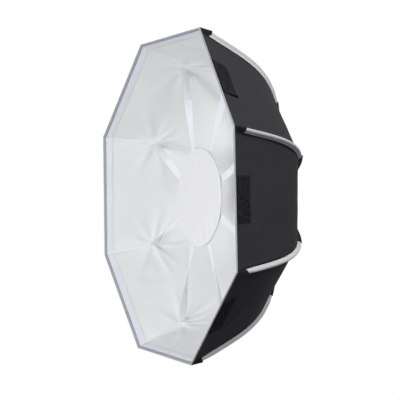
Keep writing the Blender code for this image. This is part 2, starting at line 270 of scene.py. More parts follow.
def mesh_object(name, points, faces, look, uvs=None, normals=None):
    """An object from points, faces and one UV and normal per point, in metres."""
    data = bpy.data.meshes.new(name)
    data.from_pydata(np.reshape(points, (-1, 3)).tolist(), [], faces)
    if uvs is not None:
        layer = data.uv_layers.new(name="cloth")
        corners = np.zeros(len(data.loops), np.int32)
        data.loops.foreach_get("vertex_index", corners)
        flat = np.reshape(uvs, (-1, 2)).astype(np.float32)
        layer.uv.foreach_set("vector", flat[corners].ravel())
    data.shade_smooth()
    if normals is not None:
        data.normals_split_custom_set_from_vertices(np.reshape(normals, (-1, 3)).tolist())
    data.materials.append(look)
    made = bpy.data.objects.new(name, data)
    objects.link(made)
    return made


def grid_faces(rows, columns, flip=False, closed=False, ring=False):
    """Quads over rows of points; closed joins the last column to the first, ring the last row."""
    faces = []
    for row in range(rows if ring else rows - 1):
        here, there = row * columns, (row + 1) % rows * columns
        for column in range(columns if closed else columns - 1):
            after = (column + 1) % columns
            quad = (here + column, there + column, there + after, here + after)
            faces.append(quad[::-1] if flip else quad)
    return faces


def grid_object(name, points, uvs, look, flip=False, normals=None):
    rows, columns = points.shape[:2]
    if normals is not None and flip:
        normals = -normals
    return mesh_object(name, points, grid_faces(rows, columns, flip), look, uvs, normals)


def surface_normals(points):
    """Outward normals of a panel's grid of points."""
    return unit(np.cross(np.gradient(points, axis=0), np.gradient(points, axis=1)))


def face_outward(made):
    work = bmesh.new()
    work.from_mesh(made.data)
    bmesh.ops.recalc_face_normals(work, faces=work.faces)
    work.to_mesh(made.data)
    work.free()


def tube_object(name, rings, look, uvs, capped=True, ring=False, sharp=None):
    """A skin over closed rings of points."""
    count, around = rings.shape[:2]
    faces = grid_faces(count, around, closed=True, ring=ring)
    if capped:
        faces.append(tuple(range(around)))
        faces.append(tuple(range(count * around - 1, (count - 1) * around - 1, -1)))
    made = mesh_object(name, rings, faces, look, uvs)
    face_outward(made)
    if sharp:
        made.data.set_sharp_from_angle(angle=math.radians(sharp))
    return made


def ripple(points, size, seed):
    """Smooth noise over a grid of points, about -1 to 1."""
    shift = Vector((seed * 7.31, seed * 3.17, seed * 5.71))
    flat = points.reshape(-1, 3) / size
    values = [noise.noise(Vector(p) + shift) for p in flat]
    return np.array(values).reshape(points.shape[:-1])


# Calls to the frame that many pieces share


def tie(piece, body, node=None):
    """Puts a piece on its body and hides the frame node that it stands for."""
    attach(piece, body)
    if node:
        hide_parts(node)


# Materials

WHITE = (1.0, 1.0, 1.0, 1.0)
LINING_WHITE = (0.775, 0.782, 0.79)
NOISE_RANGE = (0.3, 0.7)
STITCH_HALF_WIDTH, STITCH_PITCH, FINE_PITCH = 0.00045, 0.0034, 0.003


class Nodes:
    """A node tree and the few helpers that materials and the world share."""

    def __init__(self, tree):
        self.tree = tree

    def put(self, socket, value):
        if isinstance(value, bpy.types.NodeSocket):
            self.tree.links.new(value, socket)
        else:
            socket.default_value = value

    def fill(self, node, values):
        for key, value in values.items():
            self.put(node.inputs[key], value)

    def node(self, kind, values=None, **settings):
        node = self.tree.nodes.new(kind)
        for key, value in settings.items():
            setattr(node, key, value)
        self.fill(node, values or {})
        return node

    def calc(self, operation, *values):
        node = self.node("ShaderNodeMath", operation=operation)
        for socket, value in zip(node.inputs, values):
            self.put(socket, value)
        return node.outputs[0]

    def most(self, first, *others):
        """The highest of several values."""
        for other in others:
            first = self.calc("MAXIMUM", first, other)
        return first

    def ramp(self, value, low, high, start=0.0, end=1.0):
        values = {"Value": value, "From Min": low, "From Max": high, "To Min": start, "To Max": end}
        return self.node("ShaderNodeMapRange", values).outputs["Result"]

    def seen(self):
        """1 for what the camera sees, straight, in a shine or through glass."""
        rays = self.node("ShaderNodeLightPath").outputs
        return self.most(*(rays[f"Is {kind} Ray"] for kind in ("Camera", "Glossy", "Transmission")))

    def mix_shaders(self, factor, first, second):
        return self.node("ShaderNodeMixShader", {0: factor, 1: first, 2: second}).outputs[0]

    def show(self, output, shader):
        self.fill(self.tree.nodes[output], {"Surface": shader})


class Look(Nodes):
    """A Principled material and the patterns that are laid on it."""

    def __init__(self, name, colour, roughness, metallic=0.0, specular=0.5):
        self.made = bpy.data.materials.new(name)
        self.made.use_nodes = True
        super().__init__(self.made.node_tree)
        self.shader = self.tree.nodes["Principled BSDF"]
        self.colour = colour
        values = {"Base Color": (*colour, 1.0), "Roughness": roughness, "Metallic": metallic}
        self.fill(self.shader, values)
        self.fill(self.shader, {"Specular IOR Level": specular})

    @cached_property
    def cloth(self):
        """Metres across and along the cloth."""
        uv = self.node("ShaderNodeUVMap", uv_map="cloth").outputs[0]
        return self.node("ShaderNodeSeparateXYZ", {"Vector": uv}).outputs[:2]

    def noise(self, scale, detail=3.0, roughness=0.55, vector=None):
        place = vector or self.node("ShaderNodeTexCoord").outputs["Object"]
        values = {"Vector": place, "Scale": scale, "Detail": detail, "Roughness": roughness}
        return self.node("ShaderNodeTexNoise", values).outputs["Fac"]

    def wave(self, value, period):
        """0 to 1 and back over each period."""
        turn = self.calc("MULTIPLY", value, 2 * math.pi / period)
        return self.calc("MULTIPLY_ADD", self.calc("SINE", turn), 0.5, 0.5)

    def weave(self, period):
        """Plain weave: threads that pass over and under each other."""
        threads = [self.calc("SINE", self.calc("MULTIPLY", way, math.pi / period)) for way in self.cloth]
        return self.calc("MULTIPLY_ADD", self.calc("MULTIPLY", *threads), 0.5, 0.5)

    def stitches(self, place, pitch=STITCH_PITCH, crosswise=False):
        """A row of stitches along or across the cloth, at a place on the other way."""
        across, along = self.cloth[::-1] if crosswise else self.cloth
        off = self.calc("ABSOLUTE", self.calc("SUBTRACT", across, place))
        line = self.ramp(off, STITCH_HALF_WIDTH, STITCH_HALF_WIDTH * 0.5)
        dash = self.calc("FRACT", self.calc("DIVIDE", along, pitch))
        middle = self.calc("ABSOLUTE", self.calc("SUBTRACT", dash, 0.5))
        return self.calc("MULTIPLY", line, self.ramp(middle, 0.38, 0.3))

    def blend(self, first, second, share):
        """A share of one pattern and the rest of another."""
        return self.calc("MULTIPLY_ADD", first, share, self.calc("MULTIPLY", second, 1 - share))

    def mix(self, factor, first, second):
        node = self.node("ShaderNodeMix", {0: factor}, data_type="RGBA")
        for socket, value in zip(node.inputs[6:8], (first, second)):
            self.put(socket, (*value, 1.0) if isinstance(value, tuple) else value)
        return node.outputs[2]

    def tint(self, base, pattern, amount, colour):
        """An amount of a colour laid over the base where a pattern is high."""
        return self.mix(self.calc("MULTIPLY", pattern, amount), base, colour)

    def shade(self, factor, amount):
        """The base colour made darker and lighter by a 0 to 1 pattern."""
        dark = tuple(c * (1 - amount) for c in self.colour)
        light = tuple(c * (1 + amount) for c in self.colour)
        return self.mix(factor, dark, light)

    def mottle(self, blotch, amount, within=NOISE_RANGE):
        """The base colour made darker and lighter by a noise."""
        return self.shade(self.ramp(blotch, *within), amount)

    def paint(self, colour):
        self.fill(self.shader, {"Base Color": colour})

    def rough(self, pattern, low, high, within=NOISE_RANGE):
        """Roughness from low to high as a pattern rises."""
        self.fill(self.shader, {"Roughness": self.ramp(pattern, *within, low, high)})

    def bump(self, height, distance, strength=1.0):
        values = {"Height": height, "Distance": distance, "Strength": strength}
        made = self.node("ShaderNodeBump", values)
        before = self.shader.inputs["Normal"]
        if before.is_linked:
            self.put(made.inputs["Normal"], before.links[0].from_socket)
        self.put(before, made.outputs[0])


def shell_look():
    """Black coated cloth with a close weave and faint rubbed patches."""
    look = Look("shell_cloth", (0.036, 0.0365, 0.040), 0.8, specular=0.05)
    blotch = look.noise(9.0, 4.0)
    weave = look.weave(0.0009)
    thread = look.stitches(0.0062)
    woven = look.tint(look.mottle(blotch, 0.13), weave, 0.22, (0.052, 0.052, 0.056))
    look.paint(look.mix(thread, woven, (0.06, 0.06, 0.064)))
    look.rough(blotch, 0.74, 0.88)
    look.bump(weave, 0.00012, 0.6)
    look.bump(thread, 0.0003)
    return look.made


def lining_look():
    """White lining, softly mottled and crumpled, with a stitched seam at the ribs."""
    look = Look("lining_cloth", LINING_WHITE, 0.85, specular=0.15)
    thread = look.stitches(0.0042, FINE_PITCH)
    mottled = look.mottle(look.noise(7.0, 3.0), 0.018)
    look.paint(look.mix(thread, mottled, (0.66, 0.67, 0.69)))
    look.bump(look.noise(55.0, 4.0), 0.0006, 0.35)
    look.bump(look.weave(0.0006), 0.00008, 0.5)
    look.bump(thread, 0.0002)
    return look.made


def white_cloth_look(name, colour, weave_size, through=0.0):
    """White cloth with a fine weave; through is the share of light that spreads inside it."""
    look = Look(name, colour, 0.8, specular=0.2)
    look.paint(look.mottle(look.noise(22.0, 3.0), 0.015))
    look.bump(look.weave(weave_size), 0.0001, 0.6)
    sheen = {"Sheen Weight": 0.05, "Sheen Roughness": 0.4, "Sheen Tint": WHITE}
    scatter = {"Subsurface Weight": through, "Subsurface Radius": WHITE[:3], "Subsurface Scale": 0.004}
    look.fill(look.shader, sheen | scatter)
    return look.made


def hem_look():
    """Pale cool tape with a stitched row near each edge."""
    look = Look("hem_tape", (0.735, 0.76, 0.865), 0.78, specular=0.15)
    weave = look.weave(0.0007)
    places = (HEM_END - 0.0022, HEM_START + 0.003)
    thread = look.most(*(look.stitches(place, FINE_PITCH, crosswise=True) for place in places))
    inwards = look.ramp(look.cloth[1], 0.009, HEM_END - 0.001)
    washed = look.mix(inwards, look.shade(weave, 0.02), LINING_WHITE)
    look.paint(look.tint(washed, thread, 0.5, (0.66, 0.67, 0.74)))
    look.bump(weave, 0.0001, 0.6)
    look.bump(thread, 0.0002)
    return look.made


def webbing_look():
    """Silver-grey webbing with crosswise ribs and slightly darker dips."""
    colour = (0.62, 0.625, 0.64)
    look = Look("sleeve_webbing", colour, 0.7, specular=0.3)
    across, along = look.cloth
    height = look.blend(look.wave(along, 0.0016), look.wave(across, 0.0008), 0.7)
    dark = tuple(c * 0.6 for c in colour)
    look.paint(look.tint(look.shade(height, 0.09), look.noise(260.0, 2.0), 0.1, dark))
    look.rough(height, 0.8, 0.66, (0.0, 1.0))
    look.bump(height, 0.00012, 0.6)
    return look.made


def rim_look():
    """Grey binding folded over the front edge, sewn down with one row of stitches."""
    look = Look("rim_binding", (0.36, 0.365, 0.38), 0.7, specular=0.25)
    ribbed = look.wave(look.cloth[1], 0.0012)
    thread = look.stitches(0.0082, FINE_PITCH)
    woven = look.shade(look.blend(look.noise(240.0, 2.0), ribbed, 0.5), 0.12)
    look.paint(look.mix(thread, woven, (0.5, 0.505, 0.52)))
    look.bump(ribbed, 0.0001, 0.6)
    look.bump(thread, 0.00025)
    return look.made


def patch_look():
    """Black loop tape with a fuzzy face and a sewn border."""
    look = Look("loop_tape", (0.017, 0.017, 0.018), 0.95, specular=0.03)
    inset = 0.0028
    pile = look.blend(look.noise(900.0, 4.0, 0.7), look.noise(160.0, 3.0, 0.6), 0.6)
    front = look.stitches(inset, crosswise=True)
    back = look.stitches(PATCH_END - PATCH_START - inset, crosswise=True)
    rows = look.most(front, back, look.stitches(PATCH_HALF - inset))
    tufts = look.mix(look.ramp(pile, 0.42, 0.66), (0.010, 0.010, 0.011), (0.04, 0.04, 0.043))
    look.paint(look.mix(rows, tufts, (0.03, 0.03, 0.032)))
    look.bump(pile, 0.0009, 0.8)
    look.bump(rows, 0.0006, -0.8)
    return look.made


def pocket_look():
    """Tough black cloth with a coarse weave, sewn near its edges."""
    look = Look("pocket_cloth", (0.014, 0.014, 0.015), 0.78, specular=0.06)
    weave = look.weave(0.0011)
    thread = look.most(*(look.stitches(place, crosswise=True) for place in (0.0028, 0.0058)))
    blotch = look.shade(look.noise(60.0, 3.0), 0.15)
    woven = look.tint(blotch, weave, 0.3, (0.03, 0.03, 0.031))
    look.paint(look.mix(thread, woven, (0.05, 0.05, 0.052)))
    look.bump(weave, 0.0002, 0.7)
    look.bump(thread, 0.0004)
    return look.made


def cast_look():
    """Black powder coat: fine orange peel, edges a little lighter."""
    look = Look("hub_coat", (0.022, 0.022, 0.024), 0.45, specular=0.45)
    smear = look.noise(35.0, 4.0, 0.6)
    edge = look.node("ShaderNodeNewGeometry").outputs["Pointiness"]
    worn = look.ramp(edge, 0.53, 0.6, 0.0, 0.6)
    look.paint(look.mix(worn, look.mottle(smear, 0.18), (0.075, 0.075, 0.078)))
    look.rough(smear, 0.38, 0.56)
    look.bump(look.noise(700.0, 3.0, 0.5), 0.00025, 0.5)
    return look.made


def metal_look(name, colour, low, high):
    """Turned metal: fine rings about the axis and light handling marks."""
    look = Look(name, colour, 0.3, metallic=1.0)
    place = look.node("ShaderNodeTexCoord").outputs["Object"]
    x, y, z = look.node("ShaderNodeSeparateXYZ", {"Vector": place}).outputs
    radius = look.calc("SQRT", look.calc("MULTIPLY_ADD", z, z, look.calc("MULTIPLY", x, x)))
    rings = look.node("ShaderNodeCombineXYZ", {"X": radius, "Y": y, "Z": 0.0}).outputs[0]
    lathe = look.noise(2600.0, 2.0, 0.6, rings)
    marks = look.noise(26.0, 5.0, 0.65)
    look.paint(look.mottle(marks, 0.08, (0.3, 0.75)))
    look.rough(look.blend(lathe, marks, 0.6), low, high)
    look.bump(lathe, 0.00004, 0.6)
    return look.made


def plastic_look(name, colour, low, high, scale=900.0):
    """Moulded plastic with a spark-eroded grain and softly shining wear."""
    look = Look(name, colour, 0.5, specular=0.45)
    smear = look.noise(48.0, 4.0, 0.6)
    look.paint(look.mottle(smear, 0.2))
    look.rough(smear, low, high)
    look.bump(look.noise(scale, 3.0, 0.6), 0.00012, 0.5)
    return look.made


def fibre_look():
    """Pulled glass-fibre rod: long fine streaks under a thin shine."""
    look = Look("rod_fibre", (0.05, 0.05, 0.052), 0.35, specular=0.5)
    across, along = look.cloth
    drawn = look.calc("MULTIPLY", along, 0.03)
    place = look.node("ShaderNodeCombineXYZ", {"X": across, "Y": drawn}).outputs[0]
    streak = look.noise(2400.0, 3.0, 0.6, place)
    look.paint(look.shade(streak, 0.3))
    look.rough(streak, 0.28, 0.46, (0.2, 0.8))
    look.bump(streak, 0.00005, 0.5)
    return look.made


finish = {
    "shell": shell_look(),
    "lining": lining_look(),
    "hem": hem_look(),
    "strap": white_cloth_look("strap_cloth", (0.81, 0.825, 0.91), 0.0011, 0.7),
    "disc": white_cloth_look("disc_cloth", (0.80, 0.803, 0.815), 0.0006),
    "sleeve": webbing_look(),
    "rim": rim_look(),
    "patch": patch_look(),
    "pocket": pocket_look(),
    "hub": cast_look(),
    "mount": metal_look("mount_metal", (0.60, 0.60, 0.61), 0.2, 0.42),
    "wire": metal_look("hoop_wire", (0.62, 0.62, 0.63), 0.25, 0.4),
    "nylon": plastic_look("holder_nylon", (0.022, 0.022, 0.023), 0.42, 0.6),
    "knob": plastic_look("knob_plastic", (0.026, 0.026, 0.028), 0.5, 0.68, 500.0),
    "rod": fibre_look(),
}


# Shell, lining and the trims sewn to them


def dense(share, middle, spread, more):
    """Even shares from 0 to 1 crowded together about a middle."""
    fine = np.linspace(0.0, 1.0, 801)
    weight = 1 + more * bell(fine - middle, spread)
    total = np.concatenate(([0.0], np.cumsum((weight[1:] + weight[:-1]) / 2)))
    return np.interp(share, total / total[-1], fine)


class Panel:
    """The flat-sided cloth between two ribs, as grids of points with lengths across and along."""

    def __init__(self, number, rows, half, fine=False):
        self.number = number
        self.half = half
        self.pair = ribs[number], ribs[number % RIB_COUNT + 1]
        self.length = sum(rib.length for rib in self.pair) / 2
        share = np.linspace(0.0, 1.0, rows)
        across = np.linspace(-1.0, 1.0, 2 * half + 1)
        if fine:
            share = LINING_END * dense(share, 0.28, 0.12, 1.6)
            across = np.sign(across) * (1 - (1 - np.abs(across)) ** 1.45)
        self.across = (across + 1) / 2
        self.place([share * rib.length for rib in self.pair])

    def place(self, rib_lengths):
        left, right = (rib.point(along) for rib, along in zip(self.pair, rib_lengths))
        v = self.across[None, :, None]
        self.points = (1 - v) * left[:, None] + v * right[:, None]
        self.rib_lengths = rib_lengths
        self.normals = surface_normals(self.points)
        self.widths = np.linalg.norm(right - left, axis=1)[:, None]
        self.x = (self.across[None, :] - 0.5) * self.widths
        self.y = np.repeat((sum(rib_lengths) / 2)[:, None], len(self.across), axis=1)
        self.from_rib = np.minimum(self.x + self.widths / 2, self.widths / 2 - self.x)

    def strip(self, start, end, rows):
        """The same panel's surface over a band at lengths start to end from the rim."""
        made = copy.copy(self)
        made.place([np.linspace(start, end, rows)] * 2)
        return made

    def halves(self):
        """Each half's rib, side letter and columns."""
        yield self.pair[0], "a", slice(0, self.half + 1)
        yield self.pair[1], "b", slice(self.half, None)

    def uvs(self, columns):
        return np.stack((self.from_rib[:, columns], self.y[:, columns]), axis=-1)

    def rib_sides(self):
        """Each rib, lengths along and away from it, the way out of it and the panel's lean there."""
        for rib, side, along in zip(self.pair, (1, -1), self.rib_lengths):
            across = self.widths / 2 + side * self.x
            out = rib.normal(along)[:, None, :]
            lean = np.clip((self.normals * out).sum(axis=-1, keepdims=True), 0.5, 1.0)
            yield rib, along, across, out, lean


def fold(x, y, start, end, height, width):
    """A soft ridge along a line, rising from its start and dying out towards its end."""
    run = np.subtract(end, start)
    reach = float(np.hypot(*run))
    share = ((x - start[0]) * run[0] + (y - start[1]) * run[1]) / reach**2
    off = ((x - start[0]) * run[1] - (y - start[1]) * run[0]) / reach
    rise = np.clip(share, 0.0, 1.0)
    profile = 6.75 * rise * (1 - rise) ** 2
    return height * profile * bell(off, width * (0.55 + 0.9 * rise))


def edge_window(panel, at_ribs, at_rim, at_rear):
    """1 inside the panel, falling to 0 at its edges."""
    window = smoothstep(0.0, at_ribs, panel.from_rib)
    window = window * smoothstep(0.0, at_rim, panel.y)
    return window * smoothstep(0.0, at_rear, panel.length - panel.y)


def shell_lift(panel):
    """How far the black cloth stands off its flat shape: slack waves and pull lines from the corners."""
    rng = random.Random(40 + panel.number)
    window = edge_window(panel, 0.02, 0.03, 0.03)
    lift = 0.0011 * ripple(panel.points, 0.075, panel.number)
    lift = lift + 0.0004 * ripple(panel.points, 0.028, 20 + panel.number)
    for side in (-1, 1):
        for reach, turn in ((0.11, 0.5), (0.16, 0.95), (0.09, 1.25)):
            start = (side * 0.108, 0.012 + 0.01 * rng.random())
            turn = turn + rng.uniform(-0.12, 0.12)
            end = (start[0] - side * reach * math.sin(turn), start[1] + reach * math.cos(turn))
            lift = lift + fold(panel.x, panel.y, start, end, 0.0009, 0.006)
        start = (side * (0.02 + 0.03 * rng.random()), 0.33)
        end = (start[0] * 1.9, 0.16 + 0.04 * rng.random())
        lift = lift + fold(panel.x, panel.y, start, end, 0.0010, 0.009)
    return lift * window


def corner_reach(rib, along):
    """How far from a rib the lining leaves the shell, at lengths along the rib."""
    reach = LINING_CORNERS.get(rib.number, LINING_CORNER)
    return reach * smoothstep(0.012, 0.085, along) * smoothstep(0.0, 0.06, rib.length - along) + 1e-6


def clear_of_rim(along):
    """0 along the hem, rising to 1 behind it."""
    return smoothstep(HEM_END * 0.6, HEM_END + 0.03, along)


def pinch(across, behind, angle):
    """A narrow dip with a lip beside it, which starts at a strap's anchor and dies out behind it."""
    reach, depth = 0.042, 0.0085
    start_across, start_behind = 0.0030, 0.001
    x, y = across - start_across, behind - start_behind
    rise = np.clip((x * math.sin(angle) + y * math.cos(angle)) / reach, 0.0, 1.0)
    off = x * math.cos(angle) - y * math.sin(angle)
    profile = smoothstep(0.0, 0.10, rise) * (1 - rise) ** 1.2
    width = 0.0024 + 0.0034 * rise
    return depth * profile * (bell(off, width) - 0.7 * bell(off + 1.7 * width, width))


def anchor_ridge(behind):
    """The height of an anchor's pleat along its rib: long towards the rim, short behind."""
    after = np.exp(-((np.clip(behind, 0.0, None) / 0.024) ** 1.6))
    return np.where(behind > 0, after, np.clip(1 + behind / 0.085, 0.0, 1.0) ** 1.6)


def anchor_tent(rib):
    """How much further in a strap pulls the lining at its anchor."""
    slope = math.tan(rib.half_angle(rib.anchor))
    return ANCHOR_PULL - slope * float(corner_reach(rib, rib.anchor)) / 2


def pull(panel, second):
    """The lining's pleat at a strap's anchor beside one of the panel's ribs, and its fan of folds."""
    rib, side = panel.pair[second], (-1, 1)[second]
    rng = random.Random(70 + 2 * panel.number + second)
    across = np.clip(panel.widths / 2 - side * panel.x, 0.0, None)
    behind = panel.rib_lengths[second][:, None] - rib.anchor
    lift = anchor_tent(rib) * anchor_ridge(behind) * np.exp(-((across / 0.012) ** 1.5))
    folds = 0.0
    for turn, reach, height, width in FAN:
        turn = turn + rng.uniform(-0.16, 0.16)
        reach = reach * rng.uniform(0.75, 1.2)
        height = height * rng.uniform(0.5, 1.2)
        end = (reach * math.sin(turn), reach * math.cos(turn))
        folds = folds + fold(across, behind, (0.0, 0.0), end, height, width)
    pinch_side, angle = PINCHES[rib.number]
    if pinch_side == "ab"[second]:
        folds = folds - pinch(across, behind, math.radians(angle))
    return lift + folds * smoothstep(0.0, 0.005, across)


def lining_lift(panel):
    """How far the lining stands in from the shell."""
    window = edge_window(panel, 0.012, 0.05, 0.02)
    slack = 0.0016 * ripple(panel.points, 0.085, 60 + panel.number)
    slack = slack + 0.0007 * ripple(panel.points, 0.034, 90 + panel.number)
    pulls = pull(panel, 0) + pull(panel, 1)
    return LINING_INSET + (slack + 0.001) * window + pulls * clear_of_rim(panel.y)


def rounding(panel):
    """How far the stretched lining cuts the corner along each rib."""
    total = np.zeros_like(panel.x)
    for rib, along, across, _, lean in panel.rib_sides():
        reach = corner_reach(rib, along)[:, None]
        slope = np.sqrt(1 - lean[..., 0] ** 2) / lean[..., 0]
        total = total + slope * np.clip(reach - across, 0.0, None) ** 2 / (2 * reach)
    return total


def inward(panel, depth):
    """The panel's points moved in by a depth, kept in the rib's own plane at each rib."""
    way = panel.normals
    for _, _, across, out, lean in panel.rib_sides():
        weight = bell(across, SEAM_WAY)[..., None]
        way = way * (1 - weight) + weight * out / lean
    return panel.points - depth[..., None] * way


def settle(panel, surface, puff=0.0):
    """Brings a lining sheet's edges to the line that it shares with its neighbour along each rib."""
    moved = surface.copy()
    for (rib, along, across, _, _), column in zip(panel.rib_sides(), (0, -1)):
        lean = rib.half_angle(along)
        depth = LINING_INSET + np.tan(lean) * corner_reach(rib, along) / 2
        ridge = anchor_tent(rib) * anchor_ridge(along - rib.anchor)
        depth = (depth + ridge * clear_of_rim(along) + puff) / np.cos(lean)
        target = rib.point(along) - depth[:, None] * rib.normal(along)
        weight = bell(across, SEAM_LINE)[..., None]
        moved = moved + weight * (target - surface[:, column])[:, None]
    return moved


def rib_normals(panel, surface):
    """Outward normals that run on smoothly from one panel to the next."""
    normals = surface_normals(surface)
    for rib, column in zip(panel.pair, (0, -1)):
        edge = normals[:, column]
        normals[:, column] = unit(edge - (edge @ rib.around)[:, None] * rib.around)
    return normals


def flat_size(points):
    """A band's greatest width and length, and its area, from its grid."""
    side, down = np.diff(points, axis=1), np.diff(points, axis=0)
    width = np.linalg.norm(side, axis=2).sum(axis=1).max()
    length = np.linalg.norm(down, axis=2).sum(axis=0).max()
    area = np.linalg.norm(np.cross(side[:-1], down[:, :-1]), axis=2).sum()
    return (float(width), float(length)), float(area)


def pleat(piece, rib, side):
    """Bakes where a cloth piece stands into its mesh."""
    start = rib.point(rib.length)
    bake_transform(piece)


def sew(name, panel, surface, normals):
    """Splits a sheet at the panel's middle into its two halves."""
    outside = name == "shell"
    for rib, side, columns in panel.halves():
        half = f"{rib.number}{side}"
        points, uvs = surface[:, columns], panel.uvs(columns)
        piece = grid_object(f"{name}_{half}", points, uvs, finish[name], not outside, normals[:, columns])
        pleat(piece, rib, side)
        if outside:
            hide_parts(f"shell_panel_{half}")
        size, area = flat_size(panel.points[:, columns])


# The binding's section, in millimetres: out of the cloth, and back from the edge
RIM_SECTION = (
    (0.5, 1.2),
    (0.6, 0.3),
    (0.2, -0.5),
    (-0.6, -0.9),
    (-1.5, -0.8),
    (-2.2, -0.2),
    (-2.6, 0.8),
    (-2.7, 2.2),
    (-2.7, 3.8),
    (-2.5, 4.9),
    (-2.1, 5.1),
    (-1.7, 4.5),
    (-1.4, 3.2),
    (-0.8, 2.1),
    (0.0, 1.6),
)


def make_rim(panel):
    """The grey binding over a panel's front edge, mitred at its rib."""
    steps = 16
    profile = [(thick / 1000, deep / 1000) for thick, deep in RIM_SECTION]
    middle, normal = panel.points[0, panel.half], panel.normals[0, panel.half]
    for rib, side, _ in panel.halves():
        corner = panel.points[0, 0 if side == "a" else -1]
        reach = np.linalg.norm(middle - corner)
        way = (middle - corner) / reach
        back = np.cross(normal, way)
        back = back * np.sign(back[1])
        section = [corner + thick * normal + deep * back for thick, deep in profile]
        starts = [-(point @ rib.around) / (way @ rib.around) for point in section]
        rings = []
        for step in range(steps + 1):
            lengths = [start + (reach - start) * step / steps for start in starts]
            rings.append([point + length * way for point, length in zip(section, lengths)])
        uvs = section_uvs(profile, np.linspace(0.0, reach, steps + 1))
        name = f"rim_{rib.number}{side}"
        piece = tube_object(name, np.array(rings), finish["rim"], uvs, capped=False)
        pleat(piece, rib, side)


def make_patch(panel):
    """Loop tape sewn to the middle of a panel's front edge, one half on each side of the middle."""
    rows, columns = 12, 14
    count = rows * columns
    clear, sunk, border_width, curl = 0.0006, 0.0004, 0.003, 0.0022
    along = np.linspace(PATCH_START, PATCH_END, rows)
    left, right = (rib.point(along)[:, None] for rib in panel.pair)
    width = np.linalg.norm(right - left, axis=2)
    reach = np.linspace(0.0, PATCH_HALF, columns)[None, :]
    normal = panel.normals[2, panel.half]
    edge = np.minimum(along - PATCH_START, PATCH_END - along)[:, None]
    crown = smoothstep(0.0, border_width, np.minimum(PATCH_HALF - reach, edge))
    index = np.arange(count).reshape(rows, columns)
    border = np.concatenate((index[0], index[1:, -1], index[-1, -2::-1])).tolist()
    grid = np.stack(np.broadcast_arrays(reach, (along - PATCH_START)[:, None]), axis=-1).reshape(-1, 2)
    for rib, side, _ in panel.halves():
        flip = side == "a"
        v = (0.5 + (-1 if flip else 1) * reach / width)[..., None]
        base = (1 - v) * left + v * right
        wave = 0.0005 * ripple(base, 0.02, 130 + panel.number)
        rise = PATCH_THICKNESS * (0.55 + 0.45 * crown) + np.abs(wave) + clear
        if panel.number == 1 and flip:
            loose_corner = bell(reach - 0.04, 0.009) * smoothstep(0.012, 0.03, along)[:, None]
            rise = rise + curl * loose_corner
        top = (base + rise[..., None] * normal).reshape(-1, 3)
        under = (base - sunk * normal).reshape(-1, 3)
        faces = grid_faces(rows, columns, flip)
        for step, (here, there) in enumerate(zip(border, border[1:])):
            wall = (here, there, count + step + 1, count + step)
            faces.append(wall[::-1] if flip else wall)
        points = np.concatenate((top, under[border]))
        uvs = np.concatenate((grid, grid[border]))
        half = f"{rib.number}{side}"
        piece = mesh_object(f"patch_{half}", points, faces, finish["patch"], uvs)
        piece.data.set_sharp_from_angle(angle=math.radians(60))
        pleat(piece, rib, side)


# The strips under a panel's middle: name, look, depth under the shell and slot
TUCK_LAYERS = (
    ("tuck", "shell", 0.00030, "shell_cloth"),
    ("tuck_lining", "lining", 0.00055, "white_cloth"),
)


def make_tuck(panel, surface):
    """Cloth of one half carried on under the other, across the middle of the panel."""
    rib = panel.pair[0]
    near, middle, far = panel.half - 1, panel.half, panel.half + 2
    columns = slice(near, far)
    step = (surface[:, far] - surface[:, middle]) / 2
    share = np.minimum(TUCK_WIDTH / np.linalg.norm(step, axis=1), 2.0)
    end = surface[:, middle] + share[:, None] * step
    cloth = np.stack((surface[:, near], surface[:, middle], end), axis=1)
    for name, kind, depth, slot in TUCK_LAYERS:
        points = cloth - depth * panel.normals[:, columns]
        name = f"{name}_{panel.number}"
        piece = grid_object(name, points, panel.uvs(columns), finish[kind], kind == "lining")
        pleat(piece, rib, "a")
        size, area = flat_size(points)


def make_cloth(number):
    """One panel's shell, lining and hem, with the binding and patch at its front edge."""
    outer = Panel(number, SHELL_ROWS, SHELL_HALF)
    surface = outer.points + shell_lift(outer)[..., None] * outer.normals
    sew("shell", outer, surface, surface_normals(surface))
    make_tuck(outer, surface)
    inner = Panel(number, LINING_ROWS, LINING_HALF, fine=True)
    depth = np.maximum(lining_lift(inner) + rounding(inner), LINING_LEAST)
    surface = settle(inner, inward(inner, depth))
    sew("lining", inner, surface, rib_normals(inner, surface))
    band = inner.strip(HEM_START, HEM_END, HEM_ROWS)
    puff = 0.0003 + 0.0006 * np.sin(np.linspace(0.0, math.pi, HEM_ROWS))
    depth = lining_lift(band) + rounding(band) + puff[:, None]
    surface = settle(band, inward(band, depth), puff)
    sew("hem", band, surface, surface_normals(surface))
    make_rim(outer)
    make_patch(outer)


# Ribs: rods, webbing sleeves and the black pockets at their ends

# The sleeve beyond the rod: height, and share of the way to its sewn edge
SLEEVE_FLAT = (
    (0.0036, 0.12),
    (0.0024, 0.32),
    (0.0018, 0.53),
    (0.0015, 0.76),
    (0.0012, 0.94),
    (0.0004, 1.0),
    (-0.0004, 0.88),
)

# A pocket's hump: share of its height, and share of its near side or of its width
POCKET_HUMP = (
    (0.0, 1.0),
    (0.42, 0.98),
    (0.80, 0.80),
    (0.97, 0.45),
    (1.0, 0.05),
    (0.94, -0.28),
    (0.72, -0.55),
    (0.42, -0.74),
    (0.16, -0.88),
)

# Black seam tape under a sleeve, which is also a painted shadow line where it shows past the sleeve's
# edge: height, sideways
WELT_AND_SHADOW_LINE_SECTION = (
    (-0.0006, 0.0050),
    (0.0001, 0.0046),
    (0.0007, 0.0012),
    (0.0007, -0.0102),
    (0.0001, -0.0114),
    (-0.0006, -0.0110),
    (-0.0006, 0.0),
)


